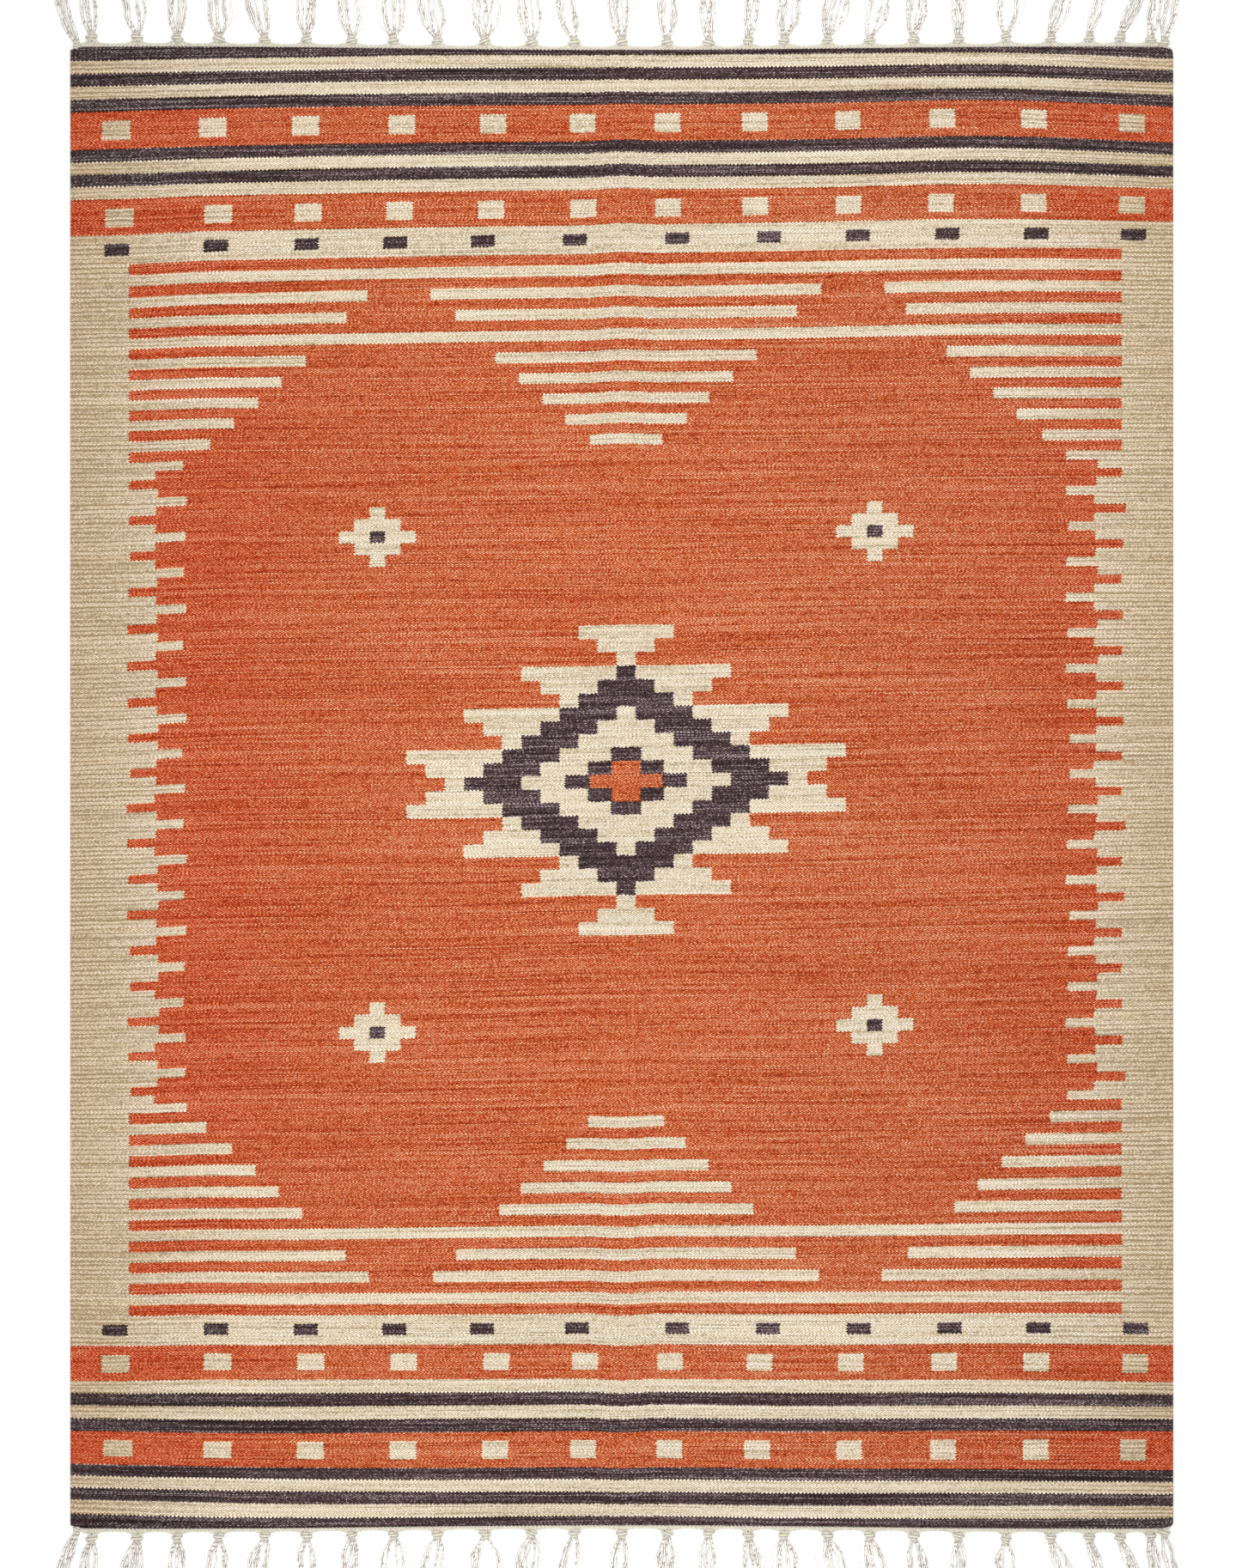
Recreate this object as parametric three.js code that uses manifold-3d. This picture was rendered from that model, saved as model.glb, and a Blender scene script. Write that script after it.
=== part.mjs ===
import * as THREE from 'three';
import { mergeVertices } from 'three/addons/utils/BufferGeometryUtils.js';
import Module from 'manifold-3d';

// A kilim rug lying on a floor: a flatwoven cloth with knotted warp fringe at both ends.
// Millimetres. +X runs across the rug, +Y along it to the head end, +Z up.
// The origin is on the floor under the middle of the rug.

const wasm = await Module();
wasm.setup();

// Cloth
const clothWidth = 1700;
const clothLength = 2280;
const clothThickness = 4;
const halfWidth = clothWidth / 2;
const halfLength = clothLength / 2;

// End edges: a little short in the middle, a little long at the bow's reach, eased off at the corners
const endBow = 2.6;
const endBowReach = 700;
const cornerEase = 5;
const cornerReach = 24;

// Soft crease along the middle, left by folding; it dies away towards both ends
const creaseHeight = 12;
const creaseHalfWidth = 60;
const creaseFadePower = 6;

// Steps of the cloth's mesh
const creaseSteps = 5;
const fieldSteps = 6;
const lengthSteps = 12;

// Strip of bundled warp ends, lying just off the cloth's end edge
const seamGap = 0.3;
const stripDepth = 6.6;
const stripThickness = 3;
const neckDepth = 11;
const neckHalfWidth = 5;
const shoulderHalfWidth = 13;

// Knots
const knotDistance = 13;
const knotWidth = 15;
const knotLength = 9;
const knotHeight = 7.5;
const knotSink = 1.1;
const knotSides = 6;
const knotRings = 4;

// Strands: three-sided, with one side down on the floor
const strandsPerTassel = 4;
const strandWidth = 2.8;
const strandLength = 87;
const strandLengthSpread = 5;
const strandSteps = 4;
const rootHalfWidth = 4.8;
const openingLength = 26;
const spreadReach = 62;
const driftLength = 120;
const waveShare = 0.06;
const waveLength = 70;

// Tassels from left to right, the same at both ends.
// x: the knot's place; lean: sideways drift at spreadReach; spread: half width at spreadReach.
const tassels = [
  { x: -840, lean: -23, spread: 10 },
  { x: -817, lean: -6, spread: 15 },
  { x: -747, lean: -8, spread: 17 },
  { x: -685, lean: 0, spread: 14 },
  { x: -621, lean: -5, spread: 16 },
  { x: -550, lean: -13, spread: 16 },
  { x: -486, lean: -1, spread: 13 },
  { x: -416, lean: -7, spread: 16 },
  { x: -352, lean: -1, spread: 18 },
  { x: -284, lean: -12, spread: 18 },
  { x: -211, lean: 1, spread: 21 },
  { x: -139, lean: -8, spread: 18 },
  { x: -73, lean: -11, spread: 16 },
  { x: 0, lean: -5, spread: 15 },
  { x: 70, lean: -1, spread: 14 },
  { x: 134, lean: -2, spread: 14 },
  { x: 195, lean: 8, spread: 12 },
  { x: 250, lean: 7, spread: 17 },
  { x: 317, lean: 17, spread: 19 },
  { x: 382, lean: 15, spread: 17 },
  { x: 450, lean: 7, spread: 14 },
  { x: 519, lean: -1, spread: 10 },
  { x: 592, lean: 5, spread: 17 },
  { x: 661, lean: 23, spread: 13 },
  { x: 720, lean: 19, spread: 9 },
  { x: 768, lean: 28, spread: 10 },
  { x: 815, lean: 9, spread: 9 },
  { x: 838, lean: 14, spread: 10 },
];

// Numbers from start to end in equal steps, both ends included
function stepsBetween(start, end, count) {
  return Array.from({ length: count + 1 }, (_, i) => start + ((end - start) * i) / count);
}

// Distance of the end edge from the middle of the rug, at x
function endEdge(x) {
  const bow = -endBow * Math.cos((Math.PI * x) / endBowReach);
  const intoCorner = Math.max(0, Math.abs(x) - (halfWidth - cornerReach)) / cornerReach;
  return halfLength + bow - cornerEase * intoCorner ** 2;
}

// Height of the crease above the floor, at x and y
function creaseLift(x, y) {
  const across = Math.min(1, Math.abs(x) / creaseHalfWidth);
  const along = Math.min(1, Math.abs(y) / halfLength);
  return 0.5 * (1 + Math.cos(Math.PI * across)) * creaseHeight * (1 - along ** creaseFadePower);
}

// Places across the rug where the cloth's mesh has a column of points
const halfColumns = [
  ...stepsBetween(0, creaseHalfWidth, creaseSteps),
  ...stepsBetween(creaseHalfWidth, halfWidth - cornerReach, fieldSteps).slice(1),
  halfWidth - cornerReach / 2,
  halfWidth,
];
const columns = [...halfColumns.slice(1).reverse().map((x) => -x), ...halfColumns];

// The end edge as the cloth's mesh has it, straight from column to column
function meshEdge(x) {
  const next = Math.max(1, columns.findIndex((column) => column >= x));
  const share = (x - columns[next - 1]) / (columns[next] - columns[next - 1]);
  return THREE.MathUtils.lerp(endEdge(columns[next - 1]), endEdge(columns[next]), share);
}

// One woven sheet of even thickness, laid over its crease
function makeClothGeometry() {
  const columnSteps = columns.length - 1;
  const geometry = new THREE.BoxGeometry(1, 2, clothThickness, columnSteps, lengthSteps, 1);
  const position = geometry.attributes.position;
  for (let i = 0; i < position.count; i += 1) {
    const column = Math.round((position.getX(i) + 0.5) * columnSteps);
    const x = columns[column];
    const y = position.getY(i) * endEdge(x);
    const z = position.getZ(i) + clothThickness / 2 + creaseLift(x, y);
    position.setXYZ(i, x, y, z);
  }
  geometry.computeVertexNormals();
  return geometry;
}

// Narrow strip along an end edge, with a neck under each knot; end is 1 at the head, -1 at the foot
function makeStripGeometry(end) {
  const left = tassels[0].x - neckHalfWidth;
  const right = tassels[tassels.length - 1].x + neckHalfWidth;
  const outline = [];
  const place = (x, distance) => outline.push(new THREE.Vector2(x, end * (meshEdge(x) + distance)));

  const innerColumns = columns.filter((x) => x > left && x < right);
  [left, ...innerColumns, right].reverse().forEach((x) => place(x, seamGap));
  tassels.forEach((tassel, i) => {
    const gapBefore = i === 0 ? 0 : tassel.x - tassels[i - 1].x;
    const gapAfter = i === tassels.length - 1 ? 0 : tassels[i + 1].x - tassel.x;
    if (gapBefore > 2 * shoulderHalfWidth) place(tassel.x - shoulderHalfWidth, stripDepth);
    place(tassel.x - neckHalfWidth, neckDepth);
    place(tassel.x + neckHalfWidth, neckDepth);
    if (gapAfter > 2 * shoulderHalfWidth) place(tassel.x + shoulderHalfWidth, stripDepth);
  });
  return new THREE.ExtrudeGeometry(new THREE.Shape(outline), {
    depth: stripThickness,
    bevelEnabled: false,
  });
}

// Bun-shaped knot that lies on the floor with a flat belly
function makeKnotGeometry(tassel, end) {
  const geometry = new THREE.SphereGeometry(1, knotSides, knotRings);
  geometry.rotateX(Math.PI / 2);
  geometry.scale(knotWidth / 2, knotLength / 2, knotHeight / 2);
  const position = geometry.attributes.position;
  for (let i = 0; i < position.count; i += 1) {
    position.setZ(i, Math.max(0, position.getZ(i) + knotHeight / 2 - knotSink));
  }
  geometry.translate(tassel.x, end * (meshEdge(tassel.x) + knotDistance), 0);
  return geometry;
}

// Share of a tassel's sideways drift that is reached at s; it slows down towards the tip
function driftShare(s) {
  return 1 - (1 - s / driftLength) ** 2;
}

// Middle line of one strand at s along it; side runs from -1 to 1 across the tassel
function strandPoint(tassel, side, end, s) {
  const reach = driftShare(s) / driftShare(spreadReach);
  const opening = Math.sin((Math.PI / 2) * Math.min(1, s / openingLength));
  const wave = waveShare * tassel.spread * Math.sin((2 * Math.PI * s) / waveLength + tassel.x + side);
  const halfSpread = THREE.MathUtils.lerp(rootHalfWidth, tassel.spread, opening);
  const x = tassel.x + tassel.lean * reach + halfSpread * side + wave * opening;
  const y = end * (meshEdge(tassel.x) + knotDistance + s);
  return new THREE.Vector2(x, y);
}

// One strand, level on the floor from its knot to its tip
function makeStrandGeometry(tassel, index, end) {
  const side = (2 * index) / (strandsPerTassel - 1) - 1;
  const length = strandLength + strandLengthSpread * Math.sin(tassel.x + 2 * index);
  const radius = strandWidth / Math.sqrt(3);
  const geometry = new THREE.CylinderGeometry(radius, radius, 1, 3, strandSteps);
  const position = geometry.attributes.position;
  for (let i = 0; i < position.count; i += 1) {
    const s = (position.getY(i) + 0.5) * length;
    const middle = strandPoint(tassel, side, end, s);
    const ahead = strandPoint(tassel, side, end, s + 1).sub(middle).normalize();
    const across = position.getX(i);
    const z = position.getZ(i) + radius / 2;
    position.setXYZ(i, middle.x + across * ahead.y, middle.y - across * ahead.x, z);
  }
  return geometry;
}

function toSolid(geometry) {
  const bare = geometry.clone();
  bare.deleteAttribute('normal');
  bare.deleteAttribute('uv');
  const merged = mergeVertices(bare);
  return new wasm.Manifold(new wasm.Mesh({
    numProp: 3,
    vertProperties: merged.attributes.position.array,
    triVerts: Uint32Array.from(merged.index.array),
  }));
}

function toGeometry(solid) {
  const mesh = solid.getMesh();
  const geometry = new THREE.BufferGeometry();
  geometry.setAttribute('position', new THREE.BufferAttribute(mesh.vertProperties, 3));
  geometry.setIndex(new THREE.BufferAttribute(mesh.triVerts, 1));
  geometry.computeVertexNormals();
  return geometry;
}

// Fringe of one end: every knot with its strands, joined to the strip that holds them
function makeFringeGeometry(end) {
  let fringe = toSolid(makeStripGeometry(end));
  tassels.forEach((tassel) => {
    let bunch = toSolid(makeKnotGeometry(tassel, end));
    for (let index = 0; index < strandsPerTassel; index += 1) {
      bunch = bunch.add(toSolid(makeStrandGeometry(tassel, index, end)));
    }
    fringe = fringe.add(bunch);
  });
  return toGeometry(fringe);
}

function makeMesh(name, geometry, material) {
  const mesh = new THREE.Mesh(geometry, material);
  mesh.name = name;
  return mesh;
}

const woolCloth = new THREE.MeshStandardMaterial({ color: '#b96a48', roughness: 0.95, metalness: 0 });
const warpCotton = new THREE.MeshStandardMaterial({ color: '#e3ddd0', roughness: 0.9, metalness: 0 });

const rug = new THREE.Group();
rug.add(
  makeMesh('cloth', makeClothGeometry(), woolCloth),
  makeMesh('head_fringe', makeFringeGeometry(1), warpCotton),
  makeMesh('foot_fringe', makeFringeGeometry(-1), warpCotton.clone()),
);

export default rug;
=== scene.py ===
import bisect
import math
import random

import bpy
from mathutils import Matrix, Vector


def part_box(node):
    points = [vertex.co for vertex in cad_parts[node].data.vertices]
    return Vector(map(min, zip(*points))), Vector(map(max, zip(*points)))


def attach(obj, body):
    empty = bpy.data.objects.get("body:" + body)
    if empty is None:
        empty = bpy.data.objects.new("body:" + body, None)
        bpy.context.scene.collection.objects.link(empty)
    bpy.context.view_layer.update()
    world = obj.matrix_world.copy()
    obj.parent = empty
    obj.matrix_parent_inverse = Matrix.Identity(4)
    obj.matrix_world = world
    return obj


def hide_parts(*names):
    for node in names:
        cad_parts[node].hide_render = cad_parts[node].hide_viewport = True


# A kilim rug seen from straight above: a woven cloth with a knotted warp fringe at both ends.
# Sizes in the dictionaries are millimetres, or warps where a note or a name says so. +Y is towards the head
# end, at the top of the picture.

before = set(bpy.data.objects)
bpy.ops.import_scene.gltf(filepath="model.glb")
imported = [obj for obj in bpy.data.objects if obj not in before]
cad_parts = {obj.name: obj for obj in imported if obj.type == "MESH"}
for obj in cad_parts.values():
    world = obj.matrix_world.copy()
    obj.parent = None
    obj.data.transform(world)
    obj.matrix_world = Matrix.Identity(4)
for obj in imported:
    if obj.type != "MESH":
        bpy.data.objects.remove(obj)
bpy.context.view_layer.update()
scene = bpy.context.scene
mm = 0.001
print("frame loaded:", sorted(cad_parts))


def linearColour(hexText):
    # sRGB hex to the linear numbers that shaders take
    levels = [int(hexText[i:i + 2], 16) / 255 for i in (1, 3, 5)]
    return [x / 12.92 if x <= 0.04045 else ((x + 0.055) / 1.055) ** 2.4 for x in levels] + [1.0]


def addNode(material, kind, inputs, stops=(), **settings):
    # Adds a node. Inputs go in order or by name, each a plain value, another node or a socket; stops are
    # the places and colours along a ramp.
    tree = material.node_tree
    node = tree.nodes.new(kind)
    for name, value in settings.items():
        setattr(node, name, value)
    for name, value in inputs.items() if isinstance(inputs, dict) else enumerate(inputs):
        if isinstance(value, bpy.types.Node):
            value = value.outputs[0]
        if isinstance(value, bpy.types.NodeSocket):
            tree.links.new(value, node.inputs[name])
        else:
            node.inputs[name].default_value = value
    for i, (position, colour) in enumerate(stops):
        elements = node.color_ramp.elements
        element = elements[i] if i < len(elements) else elements.new(position)
        element.position = position
        element.color = linearColour(colour)
    return node


def emptyMaterial(name):
    material = bpy.data.materials.new(name)
    material.use_nodes = True
    material.node_tree.nodes.clear()
    return material


def makePiece(name, points, faces, slots, attributeName, values, normals=None):
    # A mesh object in the frame, with a material slot for each face and three numbers for each point
    mesh = bpy.data.meshes.new(name)
    mesh.from_pydata([[c * mm for c in p] for p in points], [], faces)
    mesh.polygons.foreach_set("material_index", slots)
    mesh.shade_smooth()
    if normals:
        mesh.normals_split_custom_set_from_vertices(normals)
    attribute = mesh.attributes.new(attributeName, "FLOAT_VECTOR", "POINT")
    attribute.data.foreach_set("vector", [c for value in values for c in value])
    mesh.update()
    piece = bpy.data.objects.new(name, mesh)
    scene.collection.objects.link(piece)
    mesh.calc_loop_triangles()
    print(name + ":", len(mesh.loop_triangles), "triangles")
    return piece


def smoothStep(share):
    share = min(1.0, max(0.0, share))
    return share * share * (3 - 2 * share)


def mix(a, b, share):
    return a + (b - a) * share


# Camera

view = {
    "imagePixels": (1460, 1826),
    "pixelSize": 1.325,  # what one pixel covers of the rug
    "middle": (8.0, 5.6),  # place on the rug at the image's middle
    "height": 3100.0,
    "sensorHeight": 24.0,
}


def addCamera():
    data = bpy.data.cameras.new("overheadCamera")
    data.sensor_fit = "VERTICAL"
    data.sensor_height = view["sensorHeight"]
    seen = view["imagePixels"][1] * view["pixelSize"]
    data.lens = view["sensorHeight"] * view["height"] / seen
    camera = bpy.data.objects.new("overheadCamera", data)
    camera.location = (view["middle"][0] * mm, view["middle"][1] * mm, view["height"] * mm)
    scene.collection.objects.link(camera)
    scene.camera = camera


addCamera()
print("camera placed")


# The weave's chart
# u counts warps from the middle of the pattern, v is the distance from the head edge down the rug.

weave = {
    "warps": 570,  # over the whole width; a mark that reaches so far runs off the side
    "patternShift": 2.2,  # warps from the middle of the cloth to the middle of the pattern
    "warpPitch": 2.915,
    "warpWidening": 8.29e-7,  # the warps stand wider apart towards the sides
    "pick": 1.7,
    "length": 2280.0,
    "toothHeight": {"charcoal": 1.15, "orange": 0.8},  # half height of the teeth where a colour starts
    "toothGap": 0.3,  # warps kept clear between a corner and the next tooth
    "jagPitch": 2.1,
    "jag": (0.6, 1.9),
    "leanPlace": -700.0,  # the rows climb more steeply through the left teeth
    "leanReach": 130.0,
    "lean": 0.9,
    "creaseCut": 7.5,  # cuts across the crease let the cloth bend there
    "creaseCuts": 8,  # on each side of the middle
    "plainCut": 130,
    "plainCutReach": (200, 800),
    "cutGap": 1.5,  # warps kept clear between a cut and the edge of a colour
    "seam": 200,  # warps; the side teeth keep their own row height outside it
    "rowDigits": 3,  # places kept of a row's distance down the rug
    "pointDigits": 4,  # points that agree to so many places are one
    "tolerance": 1e-6,
}

# Places and widths across the bands, the stars and the diamond are in warps from the middle of the pattern
bands = {
    "endStripe": (9.0, 14.6),  # head, foot
    "headStripes": (19.2, 18.55),
    "footStripes": (19.9, 18.9),
    "combRow": (16.3, 17.0),  # head, foot
    "border": (-258, 257),
    "toothRow": 13.81,
    "toothRows": 73,
    "toothEdges": (230, 244, 258, 244),
    "toothUnevenness": 1.2,
    "squareWidth": 13.5,
    "squareTaper": 0.0025,  # the squares narrow towards the right
    "dashWidth": 12.5,
}

# Row heights in each figured band: above its squares or dashes, along them and below them
figureRows = {
    "headUpper": (13.6, 28.8, 13.2),
    "headLower": (14.6, 27.5, 12.3),
    "headDashes": (13.2, 18.3, 12.6),
    "footDashes": (13.4, 17.2, 14.4),
    "footUpper": (13.4, 27.2, 13.7),
    "footLower": (13.4, 29.5, 14.1),
}

# Middles of the squares and dashes in each band, counted in warps; the weaver didn't space them evenly
squarePlaces = {
    "headUpper": (-264.3, -215.7, -168, -118, -70.2, -23, 22, 68, 116.7, 165.8, 212.7, 262.2),
    "headLower": (-262.7, -212.8, -166.7, -119.2, -71.3, -22.5, 22.3, 68.3, 117.2, 165.2, 212.6, 262.2),
    "headDashes": (-264, -214, -167.5, -121.5, -75.5, -27, 27, 75.5, 122, 168.5, 214, 263),
    "footDashes": (-265, -214, -168, -122, -76, -26, 27, 75, 122.5, 169.5, 215, 264),
    "footUpper": (-264.8, -213.2, -165.3, -117.1, -68.5, -21.6, 23.4, 70.4, 118.3, 166.7, 213.9, 263.7),
    "footLower": (-263.5, -213.3, -165.6, -117.5, -69.2, -22.7, 22.8, 69.2, 117.5, 166.2, 213.7, 262.6),
}

# Cream bars of the combs, in warps: where the left one ends, half of the middle one, and where the right
# one starts. None is a bar across the whole comb.
headComb = (
    None,
    (-136, 103, 136),
    (-147, 90, 147),
    None,
    (-168, 69, 168),
    (-180.5, 56.5, 180),
    (-192.5, 44, 192),
    (-205, 32, 204),
    (-217, 19, 217),
)
footComb = (
    (-219, 20, 221),
    (-206, 31.5, 208.5),
    (-194, 43.5, 196.5),
    (-182, 55.5, 184),
    (-170, 67, 172),
    None,
    (-147.5, 89.5, 148),
    (-135.5, 101.5, 134.5),
    None,
)

stars = {
    "tops": (700.1, 1464.6),
    "place": 130.8,
    "row": 18.8,
    "halfWidths": (4, 12, 20, 12, 4),
    "coreRow": 2,
    "coreHalfWidth": 4,
}

# Half widths in the diamond count steps of its outline, each of so many warps
diamond = {
    "top": 885.5,
    "row": 20.97,
    "step": 10.05,
    "rowsToMiddle": 12,
    "tip": 2.5,
    "tier": 3,  # its rows, each a step narrower; the next tier starts as many steps further out
    "inner": ((3, "charcoal"), (6, "cream")),  # first row of each colour inside
    "innerTip": 0.5,
    "eye": {
        9: ((0.8, "charcoal"),),
        10: ((2.0, "charcoal"), (0.75, "orange")),
        11: ((3.2, "charcoal"), (1.9, "orange")),
    },
}

cloth = {
    "halfWidth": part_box("cloth")[1][0] / mm,
    "halfLength": 1140.0,
    "thickness": 4.0,
    "rim": 2.0,  # radius of the rounded edge
    "rimAngles": (50, 0, -50),  # degrees up from level, at each ring of the edge
    "endBow": 2.6,
    "endBowReach": 700.0,
    "cornerEase": 5.0,
    "cornerReach": 24.0,
    "creaseHeight": 12.0,
    "creaseHalfWidth": 60.0,
    "creaseFadePower": 6,
    "slopeStep": 0.5,  # over which the crease's slope is measured
    "endBump": 0.8,
    "sideBump": 0.15,
    "sidePitch": 4.0,
    "seed": 7,
}

# How far the woven rows wander towards the foot: the distance down the rug, then the wander at seven
# places across it from left to right
driftColumns = (-850, -570, -285, 0, 285, 570, 850)
driftRows = (
    (8, (7.0, 2.5, -2.0, -2.0, -4.0, -6.5, 3.0)),
    (111, (11.0, 3.0, 0.0, -2.5, -5.0, -10.0, 0.5)),
    (173, (14.0, 6.0, 1.0, -1.5, -4.0, -9.5, 0.5)),
    (241, (15.9, 8.0, 2.8, -0.6, -4.4, -9.7, -4.0)),
    (301, (17.5, 8.6, 3.2, -1.0, -6.0, -10.0, -7.3)),
    (370, (21.5, 12.1, 5.3, 2.1, -2.4, -7.5, -6.4)),
    (483, (17.5, 12.3, 8.1, 3.8, 0.6, -4.4, -4.4)),
    (577, (15.0, 9.5, 7.8, 2.2, 0.5, -4.3, -6.0)),
    (797, (15.0, 8.0, 3.0, 3.0, -4.0, -6.0, -6.5)),
    (1000, (23.0, 11.5, 8.0, 3.5, -2.5, -6.5, -7.0)),
    (1188, (18.0, 10.0, 8.5, 3.0, -1.5, -8.0, -12.5)),
    (1461, (18.5, 10.5, 6.5, -2.0, -3.0, -9.0, -15.0)),
    (1698, (11.0, 7.5, 4.0, -1.5, -1.5, -6.0, -11.0)),
    (1798, (8.0, 6.0, 1.5, -2.0, -1.5, -5.5, -8.0)),
    (1893, (4.5, 3.0, 1.5, -0.5, -0.5, -1.5, -3.0)),
    (1975, (2.3, 2.0, 1.2, -0.9, 0.6, -0.9, 0.9)),
    (2005, (4.8, 3.6, 2.9, 1.9, 3.4, 1.1, 3.6)),
    (2040, (5.7, 1.8, 1.5, 0.7, 2.9, 2.5, 6.4)),
    (2094, (2.2, 4.9, 3.2, 1.3, 3.5, 2.8, 5.0)),
    (2150, (2.0, 6.2, 5.0, 3.0, 3.9, 1.8, 2.3)),
    (2180, (-3.4, 1.7, 3.1, 1.1, 3.4, 4.3, 6.3)),
    (2237, (-6.0, 0.0, 1.5, 1.5, 4.0, 3.5, 5.5)),
    (2262, (-3.5, 3.5, 3.5, 1.5, 5.0, 6.0, 5.0)),
)


def warpX(u):
    w = u + weave["patternShift"]
    return weave["warpPitch"] * w + weave["warpWidening"] * w ** 3


def warpAt(x):
    # The chart's u at a place across the rug, by halving
    low, high = -weave["warps"], weave["warps"]
    while high - low > weave["tolerance"]:
        middle = (low + high) / 2
        low, high = (middle, high) if warpX(middle) < x else (low, middle)
    return low


def endEdge(x):
    bow = -cloth["endBow"] * math.cos(math.pi * x / cloth["endBowReach"])
    intoCorner = max(0.0, abs(x) - cloth["halfWidth"] + cloth["cornerReach"]) / cloth["cornerReach"]
    return cloth["halfLength"] + bow - cloth["cornerEase"] * intoCorner ** 2


def throughColumns(values, x):
    # A Catmull-Rom curve through the values at the drift columns
    last = len(driftColumns) - 1
    i = min(last, max(1, bisect.bisect_right(driftColumns, x)))
    start, end = values[i - 1], values[i]
    before = values[i - 2] if i > 1 else 2 * start - end
    after = values[i + 1] if i < last else 2 * end - start
    t = (x - driftColumns[i - 1]) / (driftColumns[i] - driftColumns[i - 1])
    slope = (end - before) / 2
    bend = before - 2.5 * start + 2 * end - 0.5 * after
    return start + t * (slope + t * (bend + t * (1.5 * (start - end) + 0.5 * (after - before))))


def drift(x, v):
    bow = endEdge(x) - endEdge(0)
    places = [0.0] + [row[0] for row in driftRows] + [weave["length"]]
    after = min(len(places) - 1, bisect.bisect_right(places, v))

    def at(i):
        if i == 0:
            return -bow
        return bow if i == len(places) - 1 else throughColumns(driftRows[i - 1][1], x)

    share = (v - places[after - 1]) / (places[after] - places[after - 1])
    fromTeeth = min(1.0, max(-1.0, (x - weave["leanPlace"]) / weave["leanReach"]))
    along = smoothStep(min(v, weave["length"] - v) / weave["leanReach"] - 1)
    return mix(at(after - 1), at(after), share) - weave["lean"] * math.sin(math.pi * fromTeeth) * along


def creaseLift(x, y):
    across = min(1.0, abs(x) / cloth["creaseHalfWidth"])
    along = min(1.0, abs(y) / cloth["halfLength"])
    fade = 1 - along ** cloth["creaseFadePower"]
    return 0.5 * (1 + math.cos(math.pi * across)) * cloth["creaseHeight"] * fade


def rowPlace(u, v):
    # Where a chart point lies on the floor plan
    x = warpX(u)
    length = weave["length"]
    return x, (endEdge(0) - cloth["rim"]) * (1 - 2 * v / length) - drift(x, v)


# A row of the chart is its height, its ground colour and the marks on it: start, end and colour

def stripes(height, colours):
    return [(height, colour, ()) for colour in colours]


def figureBand(name):
    # A plain band with a row of cream squares on orange or charcoal dashes on cream along its middle
    above, height, below = figureRows[name]
    isDashes = name.endswith("Dashes")
    ground, colour = ("cream", "charcoal") if isDashes else ("orange", "cream")
    marks = []
    for middle in squarePlaces[name]:
        width = bands["dashWidth"] if isDashes else bands["squareWidth"] - bands["squareTaper"] * middle
        marks.append((middle - width / 2, middle + width / 2, colour))
    return [(above, ground, ()), (height, ground, marks), (below, ground, ())]


def combRows(height, bars, orangeFirst):
    left, right = bands["border"]
    borders = [(-weave["warps"], left, "cream"), (right, weave["warps"], "cream")]
    orange = (height, "orange", borders)
    rows = []
    for bar in bars:
        if bar is None:
            cream = (height, "cream", ())
        else:
            leftEnd, middle, rightStart = bar
            spans = [(left, leftEnd), (-middle, middle), (rightStart, right)]
            cream = (height, "orange", borders + [(a, b, "cream") for a, b in spans])
        rows += [orange, cream] if orangeFirst else [cream, orange]
    return rows + [orange] if orangeFirst else [orange] + rows


def headRows():
    rows = [(bands["endStripe"][0], "charcoal", ())]
    rows += stripes(bands["headStripes"][0], ("cream", "charcoal", "cream", "charcoal"))
    rows += figureBand("headUpper")
    rows += stripes(bands["headStripes"][1], ("charcoal", "cream", "charcoal", "cream"))
    rows += figureBand("headLower")
    rows += figureBand("headDashes")
    return rows + combRows(bands["combRow"][0], headComb, True)


def footRows():
    rows = combRows(bands["combRow"][1], footComb, False)
    rows += figureBand("footDashes")
    rows += figureBand("footUpper")
    rows += stripes(bands["footStripes"][0], ("cream", "charcoal", "cream", "charcoal"))
    rows += figureBand("footLower")
    rows += stripes(bands["footStripes"][1], ("charcoal", "cream", "charcoal", "cream"))
    return rows + [(bands["endStripe"][1], "charcoal", ())]


def toothRows(side):
    outer = side * weave["warps"]
    edges = bands["toothEdges"]
    rng = random.Random(cloth["seed"] + side)
    rows = []
    for i in range(bands["toothRows"]):
        edge = side * (edges[i % len(edges)] + rng.uniform(-1, 1) * bands["toothUnevenness"])
        rows.append((bands["toothRow"], "orange", [(min(edge, outer), max(edge, outer), "cream")]))
    return rows


def starRows():
    # Two stars side by side, each with a charcoal core
    rows = []
    for i, half in enumerate(stars["halfWidths"]):
        marks = []
        for centre in (-stars["place"], stars["place"]):
            marks.append((centre - half, centre + half, "cream"))
            if i == stars["coreRow"]:
                core = stars["coreHalfWidth"]
                marks.append((centre - core, centre + core, "charcoal"))
        rows.append((stars["row"], "orange", marks))
    return rows


def diamondRows():
    # Rows from the tip to the middle, then the same in mirror order
    tier, step = diamond["tier"], diamond["step"]
    half = []
    for i in range(diamond["rowsToMiddle"]):
        widths = [(diamond["tip"] + tier * (i // tier) - i % tier, "cream")]
        for first, colour in diamond["inner"]:
            if i >= first:
                widths.append((i - first + diamond["innerTip"], colour))
        widths += diamond["eye"].get(i, ())
        marks = [(-k * step, k * step, colour) for k, colour in widths]
        half.append((diamond["row"], "orange", marks))
    return half + half[-2::-1]


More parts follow.
